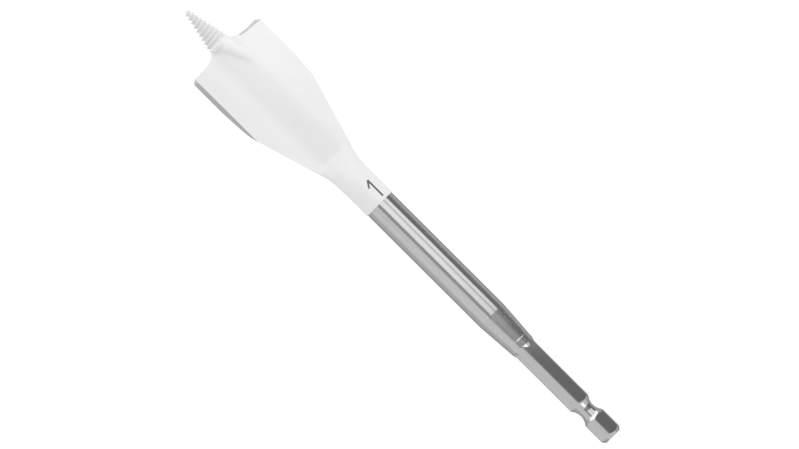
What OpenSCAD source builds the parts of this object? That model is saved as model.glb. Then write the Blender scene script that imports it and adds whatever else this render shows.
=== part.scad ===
// Spade drill bit, one forged and ground piece of steel.
// X runs along the axis from the drive end to the screw point. Z is up.
// The bit lies on its neck and on the leading corner of one wing.

/* [Drive end] */
// Hex drive shank, width across flats
hex_af = 6.35; // [5.5:0.05:6.6]
// Diameter that the hex corners are rounded to
hex_corner_d = 7.15; // [6.8:0.05:7.6]
// Turn of a hex corner away from the normal of the paddle's middle plane
hex_turn_deg = 3.5; // [-30:0.5:30]
// Length of the hex from its end to the taper
hex_len = 34.2; // [26:0.1:50]
// Bevel on the end of the hex, along the axis
end_bevel_len = 1.3; // [0.5:0.1:2.5]
// Diameter of the flat end face inside the bevel
end_face_d = 5; // [3:0.1:6]
// Distance from the end to the middle of the detent groove
groove_x = 9.9; // [9:0.1:14]
// Diameter at the bottom of the detent groove
groove_d = 4.5; // [3.6:0.1:5.4]
// Radius of the groove's round section
groove_r = 4.2; // [2.5:0.1:5]

/* [Round shank] */
// Diameter of the bare round shank
shank_d = 8.9; // [8.2:0.1:9.4]
// Length of the bare round shank
shank_len = 42.3; // [20:0.1:120]
// Length of the turned taper
taper_len = 11.8; // [8:0.1:18]
// Diameter at the small end of the taper
taper_d = 7.2; // [7.15:0.05:7.9]
// Length of the bevel between the taper and the hex
shoulder_len = 1.9; // [0.4:0.1:2.5]
// Diameter at the small end of that bevel, inside the hex
shoulder_d = 5.95; // [5:0.05:6.2]

/* [Neck] */
// Diameter of the coated neck
neck_d = 9.5; // [9:0.1:11]
// Length of the neck that is fully round
neck_len = 6.7; // [3:0.1:15]
// Length over which the neck flattens into the paddle
spoon_len = 11.2; // [7:0.1:16]
// How slowly the neck leaves its round form
spoon_ease = 1.6; // [1.2:0.1:2.4]

/* [Paddle] */
// Cutting diameter
cut_d = 25.4; // [22:0.1:32]
// Thickness of the flat web at the axis
web_t = 3.9; // [3:0.1:4.6]
// Distance from the axis to the start of the scoop in front of a cutting edge
web_half = 2.5; // [1.5:0.1:3.5]
// Distance from the axis to the crest that the trailing face falls away from
crest_half = 4.6; // [3.5:0.1:6]
// Blend length over that crest
crest_blend = 1.2; // [0.4:0.1:3]
// Tilt of the web about the axis
web_deg = 8; // [0:0.5:12]
// Angle of the leading corner above the middle plane
lead_deg = 27.5; // [23:0.5:32]
// Angle of the trailing corner above the middle plane
trail_deg = 8; // [4:0.5:12]
// Half angle of the paddle's taper towards the neck
flare_deg = 17.5; // [12:0.5:24]
// Distance from the full neck to the start of that taper
flare_start = 7.3; // [4:0.1:12]
// Angle at which the sides close in behind the margins
back_deg = 2.8; // [1:0.1:6]
// Length of the full ground margin, from the leading corner
margin_len = 9.5; // [5:0.1:14]
// Distance from the leading corner to the paddle's shoulder
side_len = 21.3; // [16:0.1:30]
// Blend length where the taper leaves the neck
neck_blend = 1.6; // [0.5:0.1:4]
// Blend length at the paddle's shoulder
shoulder_blend = 0.5; // [0.2:0.1:2]

/* [Cutting edges] */
// Fall of the cutting edges towards the outside
edge_deg = 4; // [0:0.5:10]
// Relief angle of the flanks behind the cutting edges
relief_deg = 16; // [6:0.5:18]
// Radius that the grinding wheel leaves between flank and hub
wheel_r = 1.6; // [0.8:0.1:2.4]

/* [Hub and screw] */
// Diameter of the hub
hub_d = 6.7; // [6:0.1:8]
// Height of the hub above the leading corners
hub_len = 2.7; // [1.6:0.1:4]
// Length of the straight rim at the hub's end
hub_rim = 0.8; // [0.4:0.1:1.5]
// Length of the hub from its end to where its cone is lost in the web
hub_cone_len = 4.3; // [2:0.1:8]
// Length of the ribs that run from the hub's end to the web's crests
rib_len = 11; // [7:0.1:20]
// Diameter of a rib inside the hub
rib_hub_d = 4.4; // [3:0.1:5]
// Diameter of a rib where it is lost in a crest
rib_d = 2; // [1:0.1:3]
// Turn of a rib's top about the axis, from the normal of the middle plane to the crest's side
rib_turn_deg = 34; // [0:1:60]
// Height of the cone that the web ends in, below the hub's end
web_cone_len = 1.15; // [0.6:0.05:2]
// Length of the screw from the hub to the point
screw_len = 12.1; // [9:0.1:18]
// Thread diameter at the hub
screw_d = 7.2; // [5:0.1:7.6]
// Diameter of the blunt point
point_d = 1.9; // [0.8:0.1:2]
// Pitch of the thread
pitch = 1.28; // [1:0.02:1.8]
// Depth of the thread at the hub
thread_h = 0.7; // [0.3:0.02:0.8]
// Part of the pitch that each flank of the thread takes
thread_flank = 0.37; // [0.3:0.01:0.48]
// Depth of the thread near the point, as a part of its radius there
point_thread = 0.45; // [0.3:0.01:0.6]

/* [Hidden] */
$fn = 96;
cut_r = cut_d / 2;
neck_r = neck_d / 2;
hub_r = hub_d / 2;

// Places along the axis
x_shank = hex_len + taper_len;
x_neck = x_shank + shank_len;
x_spoon = x_neck + neck_len;
x_flare = x_spoon + flare_start;
crease_x = x_spoon + spoon_len;
side_w = cut_r - (side_len - margin_len) * tan(back_deg);
x_side = x_flare + (side_w - neck_r) / tan(flare_deg);
x_lead = x_side + side_len;
x_hub = x_lead + hub_len;
x_point = x_hub + screw_len;

// Leading and trailing corners on the cutting circle
lead_y = cut_r * cos(lead_deg);
lead_z = cut_r * sin(lead_deg);
trail_y = cut_r * cos(trail_deg);
trail_z = cut_r * sin(trail_deg);
web_slope = tan(web_deg);
back_slope = (trail_z + web_t / 2 + web_slope * trail_y) / soft_max(trail_y - crest_half, 0, crest_blend);
scoop_k = (lead_z + back_fall(lead_y) - web_t / 2 + web_slope * lead_y) / pow(lead_y - web_half, 2);

// Slope of the leading face from the hub to the leading corner
wing_deg = atan2(lead_z - upper(hub_r), lead_y - hub_r);

// Roll about the axis that brings a leading corner down to the neck's underside
rest_roll = asin(neck_d / cut_d) - lead_deg;

// Small allowances that keep joined surfaces from lying on one another
inset = 0.02;
overlap = 3;

function soft_max(a, b, k) = (a + b + sqrt(pow(a - b, 2) + k * k)) / 2;
function soft_min(a, b, k) = -soft_max(-a, -b, k);

// Half width of the paddle's blank at x
function half_width(x) =
    let (flare = neck_r + (x - x_flare) * tan(flare_deg),
         side = cut_r + (x - x_lead + margin_len) * tan(back_deg))
    soft_min(side, soft_max(flare, neck_r - inset, neck_blend), shoulder_blend);

// Height of the S-shaped upper face at y. The lower face is its half turn.
function back_fall(y) = back_slope * soft_max(-y - crest_half, 0, crest_blend);
function upper(y) =
    web_t / 2 - web_slope * y - back_fall(y)
    + (y > web_half ? scoop_k * pow(y - web_half, 2) : 0);

// 0 in the paddle, rising to 1 where the neck is fully round
function roundness(x) =
    x >= crease_x ? 0 : 1 - pow(max(0, (x - x_spoon) / spoon_len), spoon_ease);

// One ring of the paddle: a half of it, then the same half turned about the axis
ring_half = 28;
function ring_deg(i) = (i + 0.5) * 180 / ring_half;
function blank_point(x, a) =
    let (y = half_width(x) * cos(a) / cos(ring_deg(0))) [y, upper(y)];
function round_point(a) = [(neck_r - inset) * cos(a), (neck_r - inset) * sin(a)];
function ring_point(x, a) =
    let (m = roundness(x)) (1 - m) * blank_point(x, a) + m * round_point(a);
function ring(x) = [
    for (turn = [1, -1], i = [0 : ring_half - 1])
        let (p = ring_point(x, ring_deg(i))) [x, turn * p[0], turn * p[1]]
];

// Rings along the paddle, closest together where the form changes most
spoon_rings = 12;
flare_rings = 14;
side_step = 1;
stations = concat(
    [x_spoon - overlap],
    [for (i = [0 : spoon_rings]) x_spoon + spoon_len * i / spoon_rings],
    [for (i = [1 : flare_rings]) crease_x + (x_side - crease_x) * i / flare_rings],
    [x_side + side_step, x_side + 3 * side_step, x_lead - margin_len, x_lead, x_hub - inset]
);

// Paddle forging before it is ground
module blank() {
    n = 2 * ring_half;
    last = len(stations) - 1;
    points = [for (x = stations) each ring(x)];
    sides = [
        for (s = [0 : last - 1], i = [0 : n - 1])
            let (a = s * n + i, b = s * n + (i + 1) % n)
            each [[a, b + n, b], [a, a + n, b + n]]
    ];
    // The ends are strips from the upper half to the lower half
    caps = [
        for (i = [0 : ring_half - 2])
            let (up = i, down = n - 1 - i, top = last * n)
            each [
                [up, up + 1, down], [up + 1, down - 1, down],
                [top + up, top + down, top + up + 1], [top + up + 1, top + down, top + down - 1]
            ]
    ];
    polyhedron(points, concat(sides, caps));
}

// Turned limit of the ground paddle: the cutting circle, then the cone of the hub
module turned_limit() {
    along_x() rotate_extrude()
        polygon([
            [0, x_spoon - 2 * overlap], [cut_r, x_spoon - 2 * overlap], [cut_r, x_hub - web_cone_len],
            [hub_r + wheel_r, x_hub - web_cone_len], [hub_r, x_hub], [0, x_hub]
        ]);
}

// Space in front of one flank, with the wheel's radius at the hub
module flank_cut() {
    wheel_step = 10;
    corner = [for (a = [0 : wheel_step : 90]) [wheel_r * (1 - cos(a)), wheel_r * (1 - sin(a))]];
    inner = hub_r - cut_r * cos(lead_deg - wing_deg);
    translate([x_lead, lead_y, lead_z])
        rotate([wing_deg, 0, 0]) rotate([0, relief_deg, edge_deg])
        linear_extrude(height = 2 * cut_d, center = true)
        polygon(concat(
            [for (c = corner) [c[1], inner + c[0]]],
            [[0, cut_d], [cut_d, cut_d], [cut_d, inner]]
        ));
}

module along_x() {
    rotate([0, 90, 0]) children();
}

module paddle() {
    difference() {
        intersection() {
            blank();
            turned_limit();
        }
        for (turn = [0, 180])
            rotate([turn, 0, 0]) flank_cut();
    }
}

// Hub with the cone behind it
module hub() {
    cone_end = x_hub - hub_cone_len;
    along_x() rotate_extrude()
        polygon([
            [0, cone_end], [rib_d / 2, cone_end], [hub_r, x_hub - hub_rim], [hub_r, x_hub], [0, x_hub]
        ]);
}

// Rib on the upper face, from inside the hub to the web's crest
module rib() {
    lift = (hub_d - rib_hub_d) / 2 - inset;
    top = [x_hub - hub_rim, -lift * sin(rib_turn_deg), lift * cos(rib_turn_deg)];
    end_y = rib_d / 2 - crest_half;
    end = [x_hub - rib_len, end_y, upper(end_y) - rib_d / 2];
    run = top - end;
    translate(end)
        rotate([0, acos(run[2] / norm(run)), atan2(run[1], run[0])])
        cylinder(d1 = rib_d, d2 = rib_hub_d, h = norm(run));
}

// Radius of the thread's crest at a distance from the point, and the depth there
function crest_r(d) =
    (point_d + (screw_d - point_d) * min(1, max(0, d / screw_len))) / 2;
function thread_depth(d) = min(thread_h, point_thread * crest_r(d));

// Feed screw: each meridian runs along the axis, and one turn lifts it by a pitch
module feed_screw() {
    steps = 28;
    profile = [[0, 0], [thread_flank, 1], [2 * thread_flank, 0]];
    rows_per_turn = len(profile);
    turns = floor((screw_len + overlap / 2) / pitch);
    start = x_point - turns * pitch - pitch;
    rows = turns * rows_per_turn;
    function vertex(m, r) =
        let (shape = profile[r % rows_per_turn],
             x = start + pitch * (floor(r / rows_per_turn) + m / steps + shape[0]),
             d = x_point - x,
             radius = crest_r(d) - (1 - shape[1]) * thread_depth(d),
             a = 360 * m / steps)
        [x, radius * cos(a), radius * sin(a)];
    points = concat(
        [for (m = [0 : steps - 1], r = [0 : rows - 1]) vertex(m, r)],
        [[start, 0, 0], [x_point, 0, 0]]
    );
    low = steps * rows;
    high = low + 1;
    // The last meridian joins the first one a turn higher
    function id(m, r) = m < steps ? m * rows + r : r + rows_per_turn;
    skin = [
        for (m = [0 : steps - 1], r = [0 : rows - 2])
            if (m < steps - 1 || r < rows - 1 - rows_per_turn)
                let (a = id(m, r), b = id(m + 1, r), c = id(m + 1, r + 1), d = id(m, r + 1))
                each [[a, c, b], [a, d, c]]
    ];
    low_edge = concat(
        [for (m = [0 : steps - 1]) id(m, 0)],
        [for (r = [rows_per_turn : -1 : 1]) id(0, r)]
    );
    high_edge = concat(
        [for (m = [0 : steps - 1]) id(m, rows - 1)],
        [for (r = [1 : rows_per_turn]) id(steps - 1, rows - 1 - r)]
    );
    caps = concat(
        [for (i = [0 : len(low_edge) - 1]) [low, low_edge[i], low_edge[(i + 1) % len(low_edge)]]],
        [for (i = [0 : len(high_edge) - 1]) [high, high_edge[(i + 1) % len(high_edge)], high_edge[i]]]
    );
    polyhedron(points, concat(skin, caps));
}

// Hex drive shank with its bevelled end and detent groove
module hex_shank() {
    intersection() {
        along_x() rotate(-hex_turn_deg) cylinder(d = hex_af / cos(30), h = hex_len + overlap, $fn = 6);
        along_x() rotate_extrude()
            polygon([
                [0, 0], [end_face_d / 2, 0], [hex_corner_d / 2, end_bevel_len],
                [hex_corner_d / 2, hex_len + overlap], [0, hex_len + overlap]
            ]);
    }
}

module detent_groove() {
    translate([groove_x, 0, 0])
        along_x() rotate_extrude()
        translate([groove_d / 2 + groove_r, 0])
        circle(groove_r);
}

// Taper, bare shank and neck, all turned
module round_shank() {
    along_x() rotate_extrude()
        polygon([
            [0, hex_len - shoulder_len], [shoulder_d / 2, hex_len - shoulder_len],
            [taper_d / 2, hex_len], [shank_d / 2, x_shank],
            [shank_d / 2, x_neck], [neck_r, x_neck], [neck_r, x_spoon], [0, x_spoon]
        ]);
}

module spade_bit() {
    rotate([rest_roll, 0, 0]) {
        color("silver") {
            difference() {
                hex_shank();
                detent_groove();
            }
            round_shank();
        }
        color("whitesmoke") {
            paddle();
            hub();
            for (turn = [0, 180])
                rotate([turn, 0, 0]) rib();
            feed_screw();
        }
    }
}

spade_bit();
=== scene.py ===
"""Spade drill bit: the looks of the one steel piece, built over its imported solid."""

import math

import bmesh
import bpy
import numpy as np
from mathutils import Matrix, Vector
from mathutils.bvhtree import BVHTree


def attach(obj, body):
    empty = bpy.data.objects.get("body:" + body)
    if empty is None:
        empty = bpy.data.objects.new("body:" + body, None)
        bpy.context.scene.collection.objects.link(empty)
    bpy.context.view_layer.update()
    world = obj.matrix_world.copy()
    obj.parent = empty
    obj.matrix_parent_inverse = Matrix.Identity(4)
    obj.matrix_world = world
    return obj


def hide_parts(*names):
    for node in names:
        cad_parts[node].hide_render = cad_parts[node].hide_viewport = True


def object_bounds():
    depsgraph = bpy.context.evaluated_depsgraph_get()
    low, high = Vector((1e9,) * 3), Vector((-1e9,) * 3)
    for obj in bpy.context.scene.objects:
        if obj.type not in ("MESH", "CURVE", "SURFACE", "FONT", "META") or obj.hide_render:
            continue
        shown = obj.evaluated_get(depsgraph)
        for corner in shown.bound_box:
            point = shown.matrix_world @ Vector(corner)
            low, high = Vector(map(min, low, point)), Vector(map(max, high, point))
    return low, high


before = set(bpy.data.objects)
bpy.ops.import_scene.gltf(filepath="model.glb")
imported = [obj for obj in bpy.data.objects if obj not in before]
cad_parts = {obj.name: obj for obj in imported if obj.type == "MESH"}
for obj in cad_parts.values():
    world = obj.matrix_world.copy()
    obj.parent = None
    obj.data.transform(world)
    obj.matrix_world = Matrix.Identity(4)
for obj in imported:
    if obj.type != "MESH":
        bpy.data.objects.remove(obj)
cad_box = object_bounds()

MM = 0.001
scene = bpy.context.scene

# Sizes in millimetres, the same as the solid's. X runs from the drive end to the screw point.
HEX_AF, HEX_CORNER_D, HEX_TURN_DEG, HEX_LEN = 6.35, 7.15, 3.5, 34.2
END_BEVEL_LEN, END_FACE_D = 1.3, 5.0
GROOVE_X, GROOVE_D, GROOVE_R = 9.9, 4.5, 4.2
SHANK_D, SHANK_LEN, TAPER_LEN, TAPER_D = 8.9, 42.3, 11.8, 7.2
SHOULDER_LEN, SHOULDER_D = 1.9, 5.95
NECK_D, NECK_LEN, SPOON_LEN, SPOON_EASE = 9.5, 6.7, 11.2, 1.6
CUT_D, WEB_T, WEB_HALF, WEB_DEG = 25.4, 3.9, 2.5, 8.0
CREST_HALF, CREST_BLEND = 4.6, 1.2
LEAD_DEG, TRAIL_DEG = 27.5, 8.0
FLARE_DEG, FLARE_START, BACK_DEG = 17.5, 7.3, 2.8
MARGIN_LEN, SIDE_LEN, NECK_BLEND, SHOULDER_BLEND = 9.5, 21.3, 1.6, 0.5
EDGE_DEG, RELIEF_DEG, WHEEL_R = 4.0, 16.0, 1.6
HUB_D, HUB_LEN, HUB_RIM, HUB_CONE_LEN, WEB_CONE_LEN = 6.7, 2.7, 0.8, 4.3, 1.15
RIB_LEN, RIB_HUB_D, RIB_D, RIB_TURN_DEG = 11.0, 4.4, 2.0, 34.0
SCREW_LEN, SCREW_D, POINT_D, PITCH, THREAD_H = 12.1, 7.2, 1.9, 1.28, 0.7
THREAD_FLANK, POINT_THREAD = 0.37, 0.45

# Finishing sizes that only the eye sees
EDGE_ROUND = 0.09
COAT_LIP = 0.12
RIB_BLEND, RIB_FADE, RIB_FALL = 1.6, 5.0, 1.4
RING_MARK_X, RING_MARK_W, RING_MARK_DEPTH = 36.3, 0.24, 0.07
MARK_PROUD = 0.012
THREAD_RUN_OUT = 0.5
HUB_EDGE, HUB_EDGE_X, HUB_EDGE_R, HUB_INNER_R = 0.25, 0.08, 0.06, 1.5
LIP_OVERLAP = 0.05

# How finely each region is divided: rows, rings or columns, and steps in millimetres
SIDES, HUB_SIDES, END_RINGS = 180, 96, 6
BEVEL_ROWS, END_FLAT_ROWS, GROOVE_ROWS, LONG_FLAT_ROWS, SHOULDER_ROWS = 9, 4, 41, 5, 11
TAPER_STEP, SHANK_STEP = 2.0, 4.0
NECK_STEP, SPOON_STEP, FLARE_STEP, SIDE_STEP, MARGIN_STEP = 0.8, 0.4, 0.8, 0.25, 0.5
SIDE_LEAD_IN = 3.0
LIP_ROWS, FRONT_RINGS, UPPER_COLS, LAND_ROWS = 6, 12, 145, 30
THREAD_STEPS, THREAD_ROWS, THREAD_PHASE = 84, 20, 0.4
MARK_ROWS, MARK_COLS = 41, 7

# Close rows lie this far from a break, nearer points are one, and steeper edges are sharp
BREAK, WELD = 0.12, 0.002
SHARP_DEG, MARK_SHARP_DEG = 32, 60


def tan(deg):
    return math.tan(math.radians(deg))


CUT_R, NECK_R, SHANK_R, HUB_R = CUT_D / 2, NECK_D / 2, SHANK_D / 2, HUB_D / 2
X_SHANK = HEX_LEN + TAPER_LEN
X_NECK = X_SHANK + SHANK_LEN
X_SPOON = X_NECK + NECK_LEN
X_CREASE = X_SPOON + SPOON_LEN
X_FLARE = X_SPOON + FLARE_START
SIDE_W = CUT_R - (SIDE_LEN - MARGIN_LEN) * tan(BACK_DEG)
X_SIDE = X_FLARE + (SIDE_W - NECK_R) / tan(FLARE_DEG)
X_LEAD = X_SIDE + SIDE_LEN
X_HUB = X_LEAD + HUB_LEN
X_POINT = X_HUB + SCREW_LEN
LEAD_Y = CUT_R * math.cos(math.radians(LEAD_DEG))
LEAD_Z = CUT_R * math.sin(math.radians(LEAD_DEG))
TRAIL_Y = CUT_R * math.cos(math.radians(TRAIL_DEG))
TRAIL_Z = CUT_R * math.sin(math.radians(TRAIL_DEG))
WEB_SLOPE = tan(WEB_DEG)

# The part's frame is rolled about the axis, so that the neck and a wing corner lie on the floor
REST_ROLL = math.asin(NECK_D / CUT_D) - math.radians(LEAD_DEG)
TO_FRAME = Matrix.Rotation(REST_ROLL, 3, "X")


def soft_max(a, b, k):
    return (a + b + np.sqrt((a - b) ** 2 + k * k)) / 2


BACK_SLOPE = (TRAIL_Z + WEB_T / 2 + WEB_SLOPE * TRAIL_Y) / soft_max(TRAIL_Y - CREST_HALF, 0, CREST_BLEND)


def back_fall(y):
    return BACK_SLOPE * soft_max(-y - CREST_HALF, 0, CREST_BLEND)


SCOOP_K = (LEAD_Z + back_fall(LEAD_Y) - WEB_T / 2 + WEB_SLOPE * LEAD_Y) / (LEAD_Y - WEB_HALF) ** 2


def half_width(x):
    flare = NECK_R + (x - X_FLARE) * tan(FLARE_DEG)
    side = CUT_R + (x - X_LEAD + MARGIN_LEN) * tan(BACK_DEG)
    return -soft_max(-side, -soft_max(flare, NECK_R, NECK_BLEND), SHOULDER_BLEND)


def upper(y):
    """Height of the S-shaped upper face. The lower face is its half turn."""
    rise = np.where(y > WEB_HALF, SCOOP_K * (y - WEB_HALF) ** 2, 0)
    return WEB_T / 2 - WEB_SLOPE * y + rise - back_fall(y)


def roundness(x):
    """0 in the paddle, rising to 1 where the neck is fully round."""
    along = np.clip((x - X_SPOON) / SPOON_LEN, 0, 1)
    return 1 - along ** SPOON_EASE


def bar_top(y, mid_y, mid_z, radius):
    """Height of a round bar's top over y, falling away steeply beside it."""
    off = np.abs(y - mid_y)
    return mid_z + np.sqrt(np.maximum(radius ** 2 - off ** 2, 0)) - RIB_FALL * np.maximum(off - radius, 0)


RIB_END_Y = RIB_D / 2 - CREST_HALF
RIB_END_Z = float(upper(np.array(RIB_END_Y))) - RIB_D / 2
RIB_LIFT = (HUB_D - RIB_HUB_D) / 2
RIB_TOP_Y = -RIB_LIFT * math.sin(math.radians(RIB_TURN_DEG))
RIB_TOP_Z = RIB_LIFT * math.cos(math.radians(RIB_TURN_DEG))


def melt(a, b, reach):
    """The higher of two heights, rounded where they come within reach of each other."""
    near = np.clip(1 - np.abs(a - b) / np.maximum(reach, WELD), 0, 1)
    return np.maximum(a, b) + near * near * reach / 4


def upper_with_rib(x, y):
    """The upper face with the rib and the hub's cone melted into it."""
    k = np.clip((x - X_HUB + RIB_LEN) / (RIB_LEN - HUB_RIM), 0, 1)
    rib = bar_top(y, RIB_END_Y * (1 - k) + RIB_TOP_Y * k, RIB_END_Z * (1 - k) + RIB_TOP_Z * k,
                  (RIB_D * (1 - k) + RIB_HUB_D * k) / 2)
    k = np.clip((x - X_HUB + HUB_CONE_LEN) / (HUB_CONE_LEN - HUB_RIM), 0, 1)
    cone = bar_top(y, 0, 0, RIB_D / 2 * (1 - k) + HUB_R * k)
    blend = RIB_BLEND * np.clip((x - X_HUB + RIB_LEN) / RIB_FADE, 0, 1)
    blend = blend * np.clip((X_HUB - HUB_RIM - x) / RIB_D, 0, 1)
    face = upper(y)
    return np.where(x > X_HUB - RIB_LEN, melt(melt(face, rib, blend), cone, blend), face)


WING_RAD = math.atan2(LEAD_Z - float(upper(np.array(HUB_R))), LEAD_Y - HUB_R)


def front(y, z):
    """Where the front of the paddle ends over a point of its section: flank, wheel radius or hub."""
    along = y * math.cos(WING_RAD) + z * math.sin(WING_RAD)
    turn = np.where(along < 0, -1, 1)
    along = along * turn
    behind = (z * math.cos(WING_RAD) - y * math.sin(WING_RAD)) * turn
    lead_along = CUT_R * math.cos(math.radians(LEAD_DEG) - WING_RAD)
    lead_behind = CUT_R * math.sin(math.radians(LEAD_DEG) - WING_RAD)
    flank = X_LEAD - tan(EDGE_DEG) * (along - lead_along) + tan(RELIEF_DEG) * (behind - lead_behind)
    into_wheel = np.clip(HUB_R + WHEEL_R - along, 0, WHEEL_R)
    flank = flank + WHEEL_R - np.sqrt(WHEEL_R ** 2 - into_wheel ** 2)
    radius = np.hypot(y, z)
    fall = HUB_RIM + WEB_CONE_LEN * np.clip((radius - HUB_R) / WHEEL_R, 0, 1)
    limit = X_HUB - fall
    return np.where(along <= HUB_R, limit, np.minimum(flank, limit))


class Skin:
    """Patches of one surface, each a grid of points with its finish."""

    def __init__(self):
        self.points, self.faces, self.finish = [], [], []
        self.count = 0

    def grid(self, points, finish, wrap=False):
        """Rows of points, joined along and across. finish is a slot or one slot for each face."""
        count, cols = points.shape[:2]
        spans = cols if wrap else cols - 1
        r, c = np.meshgrid(np.arange(count - 1), np.arange(spans), indexing="ij")
        n = (c + 1) % cols
        quads = np.stack([r * cols + c, r * cols + n, (r + 1) * cols + n, (r + 1) * cols + c], -1)
        self.faces.append(quads.reshape(-1, 4) + self.count)
        self.finish.append(np.broadcast_to(finish, r.shape).reshape(-1))
        self.points.append(points.reshape(-1, 3))
        self.count += count * cols

    def mesh(self, name, materials, sharp_deg):
        """One mesh of all the patches in the part's frame, with shared points welded."""
        points = np.concatenate(self.points) @ np.array(TO_FRAME).T * MM
        mesh = bpy.data.meshes.new(name)
        mesh.from_pydata(points.tolist(), [], np.concatenate(self.faces).tolist())
        for mat in materials:
            mesh.materials.append(mat)
        mesh.polygons.foreach_set("material_index", np.concatenate(self.finish).astype(np.int32))
        welded = bmesh.new()
        welded.from_mesh(mesh)
        bmesh.ops.remove_doubles(welded, verts=welded.verts, dist=WELD * MM)
        bmesh.ops.dissolve_degenerate(welded, edges=welded.edges, dist=WELD * MM)
        welded.to_mesh(mesh)
        welded.free()
        mesh.shade_smooth()
        mesh.set_sharp_from_angle(angle=math.radians(sharp_deg))
        return mesh


COAT, TURNED, TAPER, HEX, GROUND, LAND, THREAD = range(7)


def add_object(name, data):
    obj = bpy.data.objects.new(name, data)
    scene.collection.objects.link(obj)
    return obj


def revolve(x, radius, sides):
    """Points on circles about the axis.

    x and radius have one value for each ring, or one for each ring and side.
    """
    a = np.arange(sides) * 2 * np.pi / sides + math.radians(90 - HEX_TURN_DEG)
    x, radius = (np.tile(v, (sides, 1)).T if np.ndim(v) == 1 else v for v in (x, radius))
    return np.stack([x, radius * np.cos(a), radius * np.sin(a)], -1)


def rows(first, second, count):
    """Rows from one border line to another, each with a value for every side."""
    t = np.linspace(0, 1, count)[:, None]
    return first * (1 - t) + second * t


def span(a, b, step):
    """Even places from a to b, no further apart than step."""
    return np.linspace(a, b, max(2, int(math.ceil((b - a) / step)) + 1))


def add_shank(skin):
    """Hex with its bevel and detent groove, turned taper and bare round shank."""
    away = (np.arange(SIDES) * 360 / SIDES) % 60 - 30
    flat = np.minimum(HEX_AF / 2 / np.cos(np.radians(away)), HEX_CORNER_D / 2)
    # Each region's rows start and end on the lines where it meets the flats
    bevel_rise = (HEX_CORNER_D - END_FACE_D) / 2 / END_BEVEL_LEN
    shoulder_rise = (TAPER_D - SHOULDER_D) / 2 / SHOULDER_LEN
    bevel_end = (flat - END_FACE_D / 2) / bevel_rise
    half_groove = np.sqrt(GROOVE_R ** 2 - (GROOVE_D / 2 + GROOVE_R - flat) ** 2)
    shoulder_start = HEX_LEN - (TAPER_D / 2 - flat) / shoulder_rise
    bevel = rows(0 * flat, bevel_end, BEVEL_ROWS)
    end_flat = rows(bevel_end + BREAK, GROOVE_X - half_groove - BREAK, END_FLAT_ROWS)
    groove = rows(GROOVE_X - half_groove, GROOVE_X + half_groove, GROOVE_ROWS)
    long_flat = rows(GROOVE_X + half_groove + BREAK, shoulder_start - BREAK, LONG_FLAT_ROWS)
    shoulder = rows(shoulder_start, HEX_LEN, SHOULDER_ROWS)
    radius = np.concatenate([
        END_FACE_D / 2 + bevel_rise * bevel, np.tile(flat, (len(end_flat), 1)),
        GROOVE_D / 2 + GROOVE_R - np.sqrt(GROOVE_R ** 2 - (groove - GROOVE_X) ** 2),
        np.tile(flat, (len(long_flat), 1)), TAPER_D / 2 - shoulder_rise * (HEX_LEN - shoulder),
    ])
    x = np.concatenate([bevel, end_flat, groove, long_flat, shoulder])
    skin.grid(revolve(x, radius, SIDES), HEX, wrap=True)
    face_r = np.linspace(0, END_FACE_D / 2, END_RINGS)
    skin.grid(revolve(np.zeros(END_RINGS), face_r, SIDES), HEX, wrap=True)

    # Close rows on both sides of a break keep the break crisp
    mark = [RING_MARK_X - RING_MARK_W, RING_MARK_X, RING_MARK_X + RING_MARK_W]
    breaks = [HEX_LEN + BREAK, X_SHANK - BREAK]
    x = np.unique(np.concatenate([span(HEX_LEN, X_SHANK, TAPER_STEP), mark, breaks]))
    radius = np.interp(x, [HEX_LEN, X_SHANK], [TAPER_D / 2, SHANK_R])
    radius = radius - RING_MARK_DEPTH * (x == RING_MARK_X)
    skin.grid(revolve(x, radius, SIDES), TAPER, wrap=True)
    x = np.append(X_SHANK, span(X_SHANK + BREAK, X_NECK + COAT_LIP, SHANK_STEP))
    skin.grid(revolve(x, np.full(len(x), SHANK_R), SIDES), TURNED, wrap=True)


def section_half(x):
    """Half of the paddle's outline at each x: the upper face from the leading corner, then the far side."""
    width = half_width(x)[:, None]
    lead_y, trail_y = np.minimum(width, LEAD_Y), np.minimum(width, TRAIL_Y)
    edge = math.pi / 2 / UPPER_COLS
    a = np.linspace(edge, math.pi - edge, UPPER_COLS)[None, :]
    share = np.cos(a) / math.cos(edge)
    y = np.where(share > 0, share * lead_y, share * trail_y)
    z = upper_with_rib(x[:, None], y)
    top = np.stack([y, z], -1)
    # The side goes from the trailing corner of this face to the leading corner of the other one
    k = np.linspace(0, 1, LAND_ROWS + 1)[None, :]
    side_z = upper(-trail_y) * (1 - k) - upper(lead_y) * k
    side_y = -np.minimum(width, np.sqrt(CUT_R ** 2 - side_z ** 2))
    side = np.stack([side_y, side_z], -1)
    side_a = math.pi - edge + 2 * edge * k
    angle = np.concatenate([a, side_a[:, 1:-1]], 1)
    flat = np.concatenate([top, side[:, 1:-1]], 1)
    return flat, angle


def neck_radius(x):
    into = np.clip((X_NECK + COAT_LIP - x) / COAT_LIP, 0, 1)
    return NECK_R - COAT_LIP * (1 - np.sqrt(1 - into ** 2))


def outline(x):
    """Rings of the neck and the paddle: the flat section, drawn to a circle where the neck is round."""
    flat, angle = section_half(x)
    circle = neck_radius(x)[:, None, None] * np.stack([np.cos(angle), np.sin(angle)], -1)
    m = roundness(x)[:, None, None]
    half = flat * (1 - m) + circle * m
    return soften_corners(np.concatenate([half, -half], 1), roundness(x))


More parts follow.
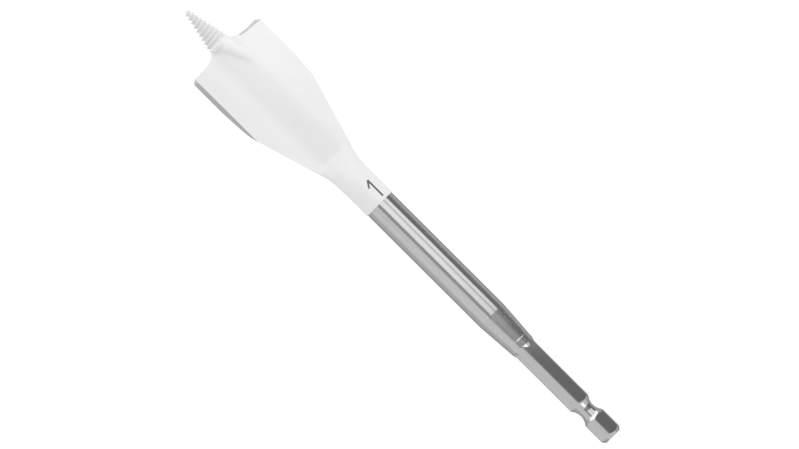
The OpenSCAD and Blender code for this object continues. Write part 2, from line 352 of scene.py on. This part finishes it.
def soften_corners(ring, round_share):
    """Draws the four corners of each ring in a little, so that the edges catch the light."""
    half = UPPER_COLS + LAND_ROWS - 1
    count = ring.shape[1]
    soft = ring.copy()
    amount = EDGE_ROUND * (1 - round_share)[:, None]
    for corner in (0, UPPER_COLS - 1, half, half + UPPER_COLS - 1):
        before, after = ring[:, corner - 1], ring[:, (corner + 1) % count]
        here = ring[:, corner]
        pull = (before - here) / np.linalg.norm(before - here, axis=1, keepdims=True)
        pull = pull + (after - here) / np.linalg.norm(after - here, axis=1, keepdims=True)
        soft[:, corner] = here + pull * amount / 2
    return soft


def add_paddle(skin):
    """Neck, spoon, contoured paddle with its ground lands, and the flanks in front."""
    x = np.unique(np.concatenate([
        X_NECK + COAT_LIP * np.linspace(0, 1, LIP_ROWS),
        span(X_NECK + COAT_LIP, X_SPOON, NECK_STEP),
        span(X_SPOON, X_CREASE, SPOON_STEP),
        span(X_CREASE, X_SIDE - SIDE_LEAD_IN, FLARE_STEP),
        span(X_SIDE - SIDE_LEAD_IN, X_LEAD - MARGIN_LEN, SIDE_STEP),
        span(X_LEAD - MARGIN_LEN, X_LEAD - WHEEL_R, MARGIN_STEP),
    ]))
    rings = outline(x)
    last = outline(np.array([X_HUB]))[0]
    tip_x = front(last[:, 0], last[:, 1])
    points = np.concatenate([np.tile(x, (rings.shape[1], 1)).T[:, :, None], rings], 2)
    # More rings run from the last flat one up to the front, and follow the ribs and the hub
    half = UPPER_COLS + LAND_ROWS - 1
    side = np.where(np.arange(2 * half) < half, 1, -1)
    face = np.arange(2 * half) % half < UPPER_COLS
    for k in np.linspace(0, 1, FRONT_RINGS + 1)[1:]:
        run_x = x[-1] * (1 - k) + tip_x * k
        run_y = rings[-1][:, 0] * (1 - k) + last[:, 0] * k
        rise = upper_with_rib(run_x, run_y * side) - upper_with_rib(np.array(X_HUB), last[:, 0] * side)
        run_z = last[:, 1] + np.where(face, rise * side, 0)
        points = np.concatenate([points, np.stack([run_x, run_y, run_z], -1)[None]])
    col = np.arange(2 * half) % half
    finish = np.where(col >= UPPER_COLS - 1, LAND, COAT)
    skin.grid(points, np.tile(finish, (len(points) - 1, 1)), wrap=True)
    lip_r = np.array([SHANK_R - LIP_OVERLAP, NECK_R - COAT_LIP])
    skin.grid(revolve(np.array([X_NECK, X_NECK]), lip_r, SIDES), COAT, wrap=True)

    # The front is a grid between the two faces, and its border is the last ring
    rim = points[-1]
    k = np.linspace(0, 1, LAND_ROWS + 1)[:, None, None]
    cap = rim[:UPPER_COLS] * (1 - k) + rim[half:half + UPPER_COLS][::-1] * k
    cap[1:-1, :, 0] = front(cap[1:-1, :, 1], cap[1:-1, :, 2])
    cap[1:-1, -1] = rim[UPPER_COLS:half]
    cap[1:-1, 0] = rim[half + UPPER_COLS:][::-1]
    middle = (cap[:, 1:] + cap[:, :-1]).mean(0) / 2
    hub = np.abs(middle[:, 1]) < HUB_R + WHEEL_R
    skin.grid(cap, np.where(hub, COAT, GROUND))


def add_hub(skin):
    """The hub's rim with its rounded edge, closed in under the screw."""
    x = np.array([X_HUB - HUB_RIM, X_HUB - HUB_EDGE, X_HUB - HUB_EDGE_X, X_HUB, X_HUB])
    radius = np.array([HUB_R, HUB_R, HUB_R - HUB_EDGE_R, HUB_R - HUB_EDGE, HUB_INNER_R])
    skin.grid(revolve(x, radius, HUB_SIDES), COAT, wrap=True)


def crest_radius(d):
    """Radius of the thread's crest at a distance from the point."""
    crest = (POINT_D + (SCREW_D - POINT_D) * np.clip(d / SCREW_LEN, 0, 1)) / 2
    run_out = np.clip((d - SCREW_LEN) / THREAD_RUN_OUT, 0, 1)
    return crest * (1 - run_out) + (HUB_R - COAT_LIP) * run_out


def add_screw(skin):
    """Right-hand thread: each meridian runs along the axis, and one turn lifts it by a pitch."""
    steps, per_turn = THREAD_STEPS, THREAD_ROWS
    turns = int(SCREW_LEN / PITCH) + 2
    m, r = np.meshgrid(np.arange(steps + 1), np.arange((turns + 1) * per_turn + 1), indexing="ij")
    x = X_POINT - turns * PITCH + PITCH * (r / per_turn + m / steps - THREAD_PHASE)
    x = np.minimum(x, X_POINT)
    d = X_POINT - x
    crest = crest_radius(d)
    depth = np.minimum(THREAD_H, POINT_THREAD * crest)
    from_crest = np.abs((r % per_turn) / per_turn - 0.5)
    form = np.clip(1 - from_crest / THREAD_FLANK, 0, 1)
    radius = crest - depth * (1 - form)
    point = np.sqrt(np.clip(1 - (1 - np.minimum(d, POINT_D / 2) / (POINT_D / 2)) ** 2, 0, 1))
    radius = radius * point
    a = 2 * np.pi * m / steps
    skin.grid(np.stack([x, radius * np.cos(a), radius * np.sin(a)], -1)[::-1], THREAD)


def node_tools(mat):
    """The material's ways to make and link nodes, and its shader."""
    tree = mat.node_tree
    new = tree.nodes.new

    def link(a, b):
        tree.links.new(a, b)
    return new, link, tree.nodes["Principled BSDF"]


def noise(new, link, scale, detail=3.0, rough=0.55):
    """Noise in the part's own metres, with its own scale along each axis."""
    coord = new("ShaderNodeTexCoord")
    mapping = new("ShaderNodeMapping")
    mapping.inputs["Scale"].default_value = scale
    link(coord.outputs["Object"], mapping.inputs["Vector"])
    tex = new("ShaderNodeTexNoise")
    tex.inputs["Scale"].default_value = 1.0
    tex.inputs["Detail"].default_value = detail
    tex.inputs["Roughness"].default_value = rough
    link(mapping.outputs["Vector"], tex.inputs["Vector"])
    return tex.outputs["Fac"]


def ramp(new, link, value, low, high, to_low, to_high):
    node = new("ShaderNodeMapRange")
    for name, v in (("From Min", low), ("From Max", high), ("To Min", to_low), ("To Max", to_high)):
        node.inputs[name].default_value = v
    link(value, node.inputs["Value"])
    return node.outputs["Result"]


def even_grey(tone):
    return tone, tone, tone


def two_tone(new, link, value, first, second):
    """Colours from first to second."""
    mix = new("ShaderNodeMix")
    mix.data_type = "RGBA"
    mix.inputs["A"].default_value = (*first, 1)
    mix.inputs["B"].default_value = (*second, 1)
    link(value, mix.inputs["Factor"])
    return mix.outputs["Result"]


def bump(new, link, shader, height, strength, distance):
    node = new("ShaderNodeBump")
    node.inputs["Strength"].default_value = strength
    node.inputs["Distance"].default_value = distance
    link(height, node.inputs["Height"])
    link(node.outputs["Normal"], shader.inputs["Normal"])


def new_material(name):
    mat = bpy.data.materials.new(name)
    mat.use_nodes = True
    return mat


# Spans of a noise's values that the tones and the roughness use
NOISE_SPAN, CLOUD_SPAN, WEAR_SPAN = (0.3, 0.7), (0.35, 0.65), (0.35, 0.75)

# Painted light on the coating: its share of the tone span, the width over which the far side turns lighter,
# and its growth along x from the neck to the tip
PAINTED_LIGHT_SHARE, PAINTED_LIGHT_Y = 0.7, 4.0
PAINTED_LIGHT_AT_NECK, PAINTED_LIGHT_FROM_X, PAINTED_LIGHT_TO_X = 0.1, 120.0, 138.0
COAT_CLOUD_AND_LIGHT_TONES = 0.795, 0.855
COAT_ROUGH = 0.36, 0.48
COAT_CLOUD, COAT_STAIN, COAT_GRAIN = (90, 220, 220), (400,) * 3, (2600,) * 3
COAT_BUMP = 0.05, 0.00006
# The thread's coating is the white coating made darker, as painted shade of the thread's grooves
THREAD_SHADED_TONES = 0.70, 0.79


def coat_colour_with_painted_light(new, link, first, second):
    """Faintly cloudy white, with painted light: lighter on the far side of the paddle, and more so towards
    the tip.
    """
    cloud = ramp(new, link, noise(new, link, COAT_CLOUD), *CLOUD_SPAN, 0, 1 - PAINTED_LIGHT_SHARE)
    coord = new("ShaderNodeTexCoord")
    split = new("ShaderNodeSeparateXYZ")
    link(coord.outputs["Object"], split.inputs["Vector"])
    # Painted light: the far side, where the soft box shines, is lighter, growing along x towards the tip
    full = ramp(new, link, split.outputs["Y"], PAINTED_LIGHT_Y * MM, -PAINTED_LIGHT_Y * MM, 0, PAINTED_LIGHT_SHARE)
    along = ramp(new, link, split.outputs["X"], PAINTED_LIGHT_FROM_X * MM, PAINTED_LIGHT_TO_X * MM, PAINTED_LIGHT_AT_NECK, 1)
    cloud_and_painted_light = new("ShaderNodeMath")
    cloud_and_painted_light.operation = "MULTIPLY_ADD"
    for value, socket in zip((full, along, cloud), cloud_and_painted_light.inputs):
        link(value, socket)
    return two_tone(new, link, cloud_and_painted_light.outputs["Value"], even_grey(first), even_grey(second))


def coat_material(name, first, second):
    """Satin white coating with a fine grain, and painted light in its colour."""
    mat = new_material(name)
    new, link, shader = node_tools(mat)
    link(coat_colour_with_painted_light(new, link, first, second), shader.inputs["Base Color"])
    rough = ramp(new, link, noise(new, link, COAT_STAIN), *NOISE_SPAN, *COAT_ROUGH)
    link(rough, shader.inputs["Roughness"])
    bump(new, link, shader, noise(new, link, COAT_GRAIN, detail=2.0), *COAT_BUMP)
    return mat


FINER, STAIN_SIZE = 3.5, 9
EDGE_TINT = 0.5, 0.5, 0.5, 1


def steel_material(name, grain, tones, rough, strength, distance):
    """Bare steel. grain is how fast the tool marks change along each axis."""
    mat = new_material(name)
    new, link, shader = node_tools(mat)
    shader.inputs["Metallic"].default_value = 1.0
    shader.inputs["Specular Tint"].default_value = EDGE_TINT
    tone = ramp(new, link, noise(new, link, grain, detail=4.0, rough=0.6), *NOISE_SPAN, 0, 1)
    link(two_tone(new, link, tone, *map(even_grey, tones)), shader.inputs["Base Color"])
    stain = noise(new, link, tuple(g / STAIN_SIZE for g in grain))
    link(ramp(new, link, stain, *NOISE_SPAN, *rough), shader.inputs["Roughness"])
    bump(new, link, shader, noise(new, link, tuple(g * FINER for g in grain)), strength, distance)
    return mat


LAND_TONES = 0.56, 0.72
LAND_ROUGH = 0.38
LAND_MARKS = 500, 9000, 9000
LAND_BUMP = 0.25, 0.00004
LAND_FROM, LAND_TO = CUT_R - 0.03, CUT_R - 0.012


def land_material():
    """The paddle's sides: coated, and ground bare where they lie on the cutting circle."""
    mat = new_material("side_land")
    new, link, shader = node_tools(mat)
    coord = new("ShaderNodeTexCoord")
    flat = new("ShaderNodeVectorMath")
    flat.operation = "MULTIPLY"
    flat.inputs[1].default_value = (0, 1, 1)
    link(coord.outputs["Object"], flat.inputs[0])
    length = new("ShaderNodeVectorMath")
    length.operation = "LENGTH"
    link(flat.outputs["Vector"], length.inputs[0])
    bare = ramp(new, link, length.outputs["Value"], LAND_FROM * MM, LAND_TO * MM, 0, 1)
    marks = noise(new, link, LAND_MARKS, detail=4.0)
    metal = two_tone(new, link, ramp(new, link, marks, *NOISE_SPAN, 0, 1), *map(even_grey, LAND_TONES))
    colour = new("ShaderNodeMix")
    colour.data_type = "RGBA"
    link(bare, colour.inputs["Factor"])
    link(coat_colour_with_painted_light(new, link, *COAT_CLOUD_AND_LIGHT_TONES), colour.inputs["A"])
    link(metal, colour.inputs["B"])
    link(colour.outputs["Result"], shader.inputs["Base Color"])
    link(bare, shader.inputs["Metallic"])
    link(ramp(new, link, bare, 0, 1, sum(COAT_ROUGH) / 2, LAND_ROUGH), shader.inputs["Roughness"])
    height = new("ShaderNodeMath")
    height.operation = "MULTIPLY"
    link(marks, height.inputs[0])
    link(bare, height.inputs[1])
    bump(new, link, shader, height.outputs["Value"], *LAND_BUMP)
    return mat


finishes = {
    COAT: coat_material("white_coating", *COAT_CLOUD_AND_LIGHT_TONES),
    TURNED: steel_material("drawn_shank", (140, 2400, 2400), (0.60, 0.67), (0.14, 0.17), 0.25, 0.00002),
    TAPER: steel_material("turned_taper", (2400, 900, 900), (0.56, 0.67), (0.20, 0.26), 0.20, 0.00002),
    HEX: steel_material("drawn_hex", (240, 1800, 1800), (0.57, 0.63), (0.08, 0.11), 0.04, 0.00002),
    GROUND: steel_material("ground_flank", (300, 5200, 400), (0.66, 0.80), (0.36, 0.46), 0.25, 0.00003),
    LAND: land_material(),
    # The thread's finish is a darker copy of the white coating: painted shade of its grooves
    THREAD: coat_material("thread_coating_painted_shade", *THREAD_SHADED_TONES),
}

skin = Skin()
add_shank(skin)
add_paddle(skin)
add_hub(skin)
add_screw(skin)
skin_mesh = skin.mesh("bit_skin", [finishes[i] for i in range(len(finishes))], SHARP_DEG)
bit = add_object("bit_skin", skin_mesh)
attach(bit, "root")
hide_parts("spade_bit")

# Size mark on the neck: a plain figure for the cutting diameter, laid on the coating
MARK_TOP_X, MARK_FOOT_X, MARK_Y = X_NECK + 6.8, X_NECK + 0.9, -2.2
MARK_STROKE = 0.52
MARK_TONES = (0.10, 0.10, 0.105), (0.20, 0.20, 0.20)
MARK_ROUGH, MARK_WEAR = 0.6, (2500,) * 3
FLAG_X, FLAG_Y = X_NECK + 4.9, -0.9


def stroke(a, b, width):
    """A strip of small cells from a to b in the neck's plan."""
    a, b = np.array(a), np.array(b)
    run = b - a
    across = np.array([-run[1], run[0]]) / np.linalg.norm(run) * width / 2
    t = np.linspace(0, 1, MARK_ROWS)[:, None, None]
    s = np.linspace(-1, 1, MARK_COLS)[None, :, None]
    return a + run * t + across * s


def laid_on(target, plan):
    """Puts plan points on the target's surface from above, a little proud of it."""
    tree = BVHTree.FromPolygons([v.co for v in target.vertices], [p.vertices for p in target.polygons])
    down = TO_FRAME @ Vector((0, 0, -1))
    out = np.zeros(plan.shape[:2] + (3,))
    for i in np.ndindex(plan.shape[:2]):
        start = TO_FRAME @ Vector((plan[i][0], plan[i][1], CUT_D)) * MM
        hit, normal = tree.ray_cast(start, down)[:2]
        out[i] = TO_FRAME.transposed() @ (hit + normal * MARK_PROUD * MM) / MM
    return out


def ink_material():
    mat = new_material("mark_ink")
    new, link, shader = node_tools(mat)
    worn = ramp(new, link, noise(new, link, MARK_WEAR), *WEAR_SPAN, 0, 1)
    link(two_tone(new, link, worn, *MARK_TONES), shader.inputs["Base Color"])
    shader.inputs["Roughness"].default_value = MARK_ROUGH
    return mat


mark_skin = Skin()
for end in ((MARK_FOOT_X, MARK_Y), (FLAG_X, FLAG_Y)):
    mark_skin.grid(laid_on(skin_mesh, stroke((MARK_TOP_X, MARK_Y), end, MARK_STROKE)), 0)
mark = add_object("size_mark", mark_skin.mesh("size_mark", [ink_material()], MARK_SHARP_DEG))
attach(mark, "root")

# Stage: pale floor, soft light from the far side and the tip, and cards that the bare steel mirrors
FLOOR_Z = cad_box[0][2]
FLOOR_HALF = 3.0
FLOOR_TONE, FLOOR_ROUGH, FLOOR_GLOW = 0.45, 0.8, 0.70
AIM_X, AIM_Y = 80.65, 0.17


def plate(name, corners, mat):
    mesh = bpy.data.meshes.new(name)
    mesh.from_pydata(corners, [], [(0, 1, 2, 3)])
    mesh.materials.append(mat)
    obj = add_object(name, mesh)
    return obj


def plain_material(name, tone, rough, glow):
    """An even grey that glows."""
    mat = new_material(name)
    shader = mat.node_tree.nodes["Principled BSDF"]
    shader.inputs["Base Color"].default_value = (*even_grey(tone), 1)
    shader.inputs["Roughness"].default_value = rough
    shader.inputs["Emission Color"].default_value = (1, 1, 1, 1)
    shader.inputs["Emission Strength"].default_value = glow
    return mat


h = FLOOR_HALF
plate("floor", [(-h, -h, FLOOR_Z), (h, -h, FLOOR_Z), (h, h, FLOOR_Z), (-h, h, FLOOR_Z)],
      plain_material("floor_pale", FLOOR_TONE, FLOOR_ROUGH, FLOOR_GLOW))


def soft_light(name, size, radiance, turn, place):
    """A panel that lights the coating and stays out of the steel's reflections."""
    data = bpy.data.lights.new(name, "AREA")
    data.shape = "RECTANGLE"
    data.size, data.size_y = size
    data.energy = radiance * math.pi * size[0] * size[1]
    light = add_object(name, data)
    light.rotation_euler, light.location = turn, place
    light.visible_camera = False
    light.visible_glossy = False
    return data


# The soft box leans over the bit from the far side
BOX_DEG, BOX_HALF_DEG, BOX_DISTANCE = 36.5, 32.0, 0.28
BOX_LEN = 0.8
BOX_RADIANCE = 0.36

lean = math.radians(BOX_DEG)
soft_light("soft_box", (BOX_LEN, 2 * BOX_DISTANCE * tan(BOX_HALF_DEG)), BOX_RADIANCE, (lean, 0, 0),
           (AIM_X * MM, -BOX_DISTANCE * math.sin(lean), BOX_DISTANCE * math.cos(lean)))

# A low panel beyond the tip lights what leans that way: the spoon and the thread's front flanks
PANEL_DEG, PANEL_DISTANCE, PANEL_SIZE = 20.0, 0.5, 0.4
PANEL_RADIANCE = 1.15

low = math.radians(PANEL_DEG)
place = X_SIDE * MM + PANEL_DISTANCE * math.cos(low), 0, PANEL_DISTANCE * math.sin(low)
panel = soft_light("tip_panel", (PANEL_SIZE, PANEL_SIZE), PANEL_RADIANCE, (0, math.pi / 2 - low, 0), place)
panel.use_shadow = False

# Cards round the bit that are only mirrored. Angles go from the vertical towards the far side
CARD_R = 0.28
CARD_X = -0.12, 0.45
BRIGHT_END_X = 0.036
LENS_FROM_DEG, LENS_TO_DEG, GAP_FROM_DEG, GAP_TO_DEG, BRIGHT_TO_DEG = -29.5, -7.5, 24.0, 38.5, 60.7
END_SPLIT_DEG, LOW_TO_DEG = 35.0, 90.0
GROOVE_CARD_X, LOW_SPLIT_X = -0.7, 0.2
WALL_FOOT = 0.01
DARK_SHEET_Y = -0.038
SHEET_END_X, SHEET_LIFT = 0.1468, 0.0001
CARD_GLOWS = ("spark", 1.6), ("bright", 1.17), ("mid", 0.58), ("grey", 0.38), ("dark", 0.19)


def mirrored_only(obj):
    obj.visible_camera = False
    obj.visible_diffuse = False
    obj.visible_shadow = False


def card(name, x, first, second, mat):
    """first and second are the (y, z) of the card's long edges."""
    mirrored_only(plate(name, [(x[0], *first), (x[1], *first), (x[1], *second), (x[0], *second)], mat))


def arc_card(name, x, from_deg, to_deg, mat):
    """A card whose long edges lie at two angles round the bit."""
    angles = math.radians(from_deg), math.radians(to_deg)
    card(name, x, *((-CARD_R * math.sin(a), CARD_R * math.cos(a)) for a in angles), mat)


spark, bright, mid, grey, dark = (
    plain_material(name + "_card", tone=0, rough=1, glow=glow) for name, glow in CARD_GLOWS)
near, far = (BRIGHT_END_X, CARD_X[1]), (CARD_X[0], BRIGHT_END_X)
arc_card("lens_card", CARD_X, LENS_FROM_DEG, LENS_TO_DEG, grey)
arc_card("bright_card_a", near, LENS_TO_DEG, GAP_FROM_DEG, bright)
arc_card("bright_card_b", near, GAP_TO_DEG, BRIGHT_TO_DEG, bright)
arc_card("end_card_a", far, LENS_TO_DEG, END_SPLIT_DEG, grey)
arc_card("end_card_b", far, END_SPLIT_DEG, BRIGHT_TO_DEG, dark)
arc_card("groove_card", (GROOVE_CARD_X, CARD_X[0]), LENS_TO_DEG, END_SPLIT_DEG, spark)
arc_card("low_card", (CARD_X[0], LOW_SPLIT_X), BRIGHT_TO_DEG, LOW_TO_DEG, dark)
arc_card("low_bright_card", (LOW_SPLIT_X, CARD_X[1]), BRIGHT_TO_DEG, LOW_TO_DEG, spark)
foot = FLOOR_Z + WALL_FOOT
corners = (-CARD_R, foot), (CARD_R, foot), (CARD_R, CARD_R), (-CARD_R, CARD_R)
mirrored_only(plate("groove_wall", [(CARD_X[1], *corner) for corner in corners], spark))
sheet_z = FLOOR_Z + SHEET_LIFT
sheet_x = CARD_X[0], SHEET_END_X
card("dark_sheet", sheet_x, (-CARD_R, sheet_z), (DARK_SHEET_Y, sheet_z), dark)
card("mid_sheet", sheet_x, (DARK_SHEET_Y, sheet_z), (CARD_R, sheet_z), mid)

WORLD_LEVEL = 0.80
world = bpy.data.worlds.new("studio")
world.use_nodes = True
background = world.node_tree.nodes["Background"]
background.inputs["Color"].default_value = (1, 1, 1, 1)
background.inputs["Strength"].default_value = WORLD_LEVEL
scene.world = world
scene.view_settings.view_transform = "Standard"

# Camera: straight above, the bit lying across the frame from the upper left to the lower right
AIM = Vector((AIM_X, AIM_Y, 0.0)) * MM
FIELD_W = 0.2142
DISTANCE = 4.0
AXIS_DEG = 44.9
SENSOR_W = 36.0
CLIP_M = 0.01, 20

axis_turn = math.radians(AXIS_DEG)
back = Vector((0, 0, 1))
to_shank = Vector((-1, 0, 0))
to_far_side = back.cross(to_shank)
right = to_shank * math.cos(axis_turn) + to_far_side * math.sin(axis_turn)
up = to_far_side * math.cos(axis_turn) - to_shank * math.sin(axis_turn)
turn = Matrix((right, up, back)).transposed()

lens = bpy.data.cameras.new("photo_camera")
lens.sensor_width = SENSOR_W
lens.lens = SENSOR_W * DISTANCE / FIELD_W
lens.clip_start, lens.clip_end = CLIP_M
camera = add_object("photo_camera", lens)
camera.matrix_world = Matrix.Translation(TO_FRAME @ (AIM + back * DISTANCE)) @ (TO_FRAME @ turn).to_4x4()
scene.camera = camera

bpy.context.view_layer.update()
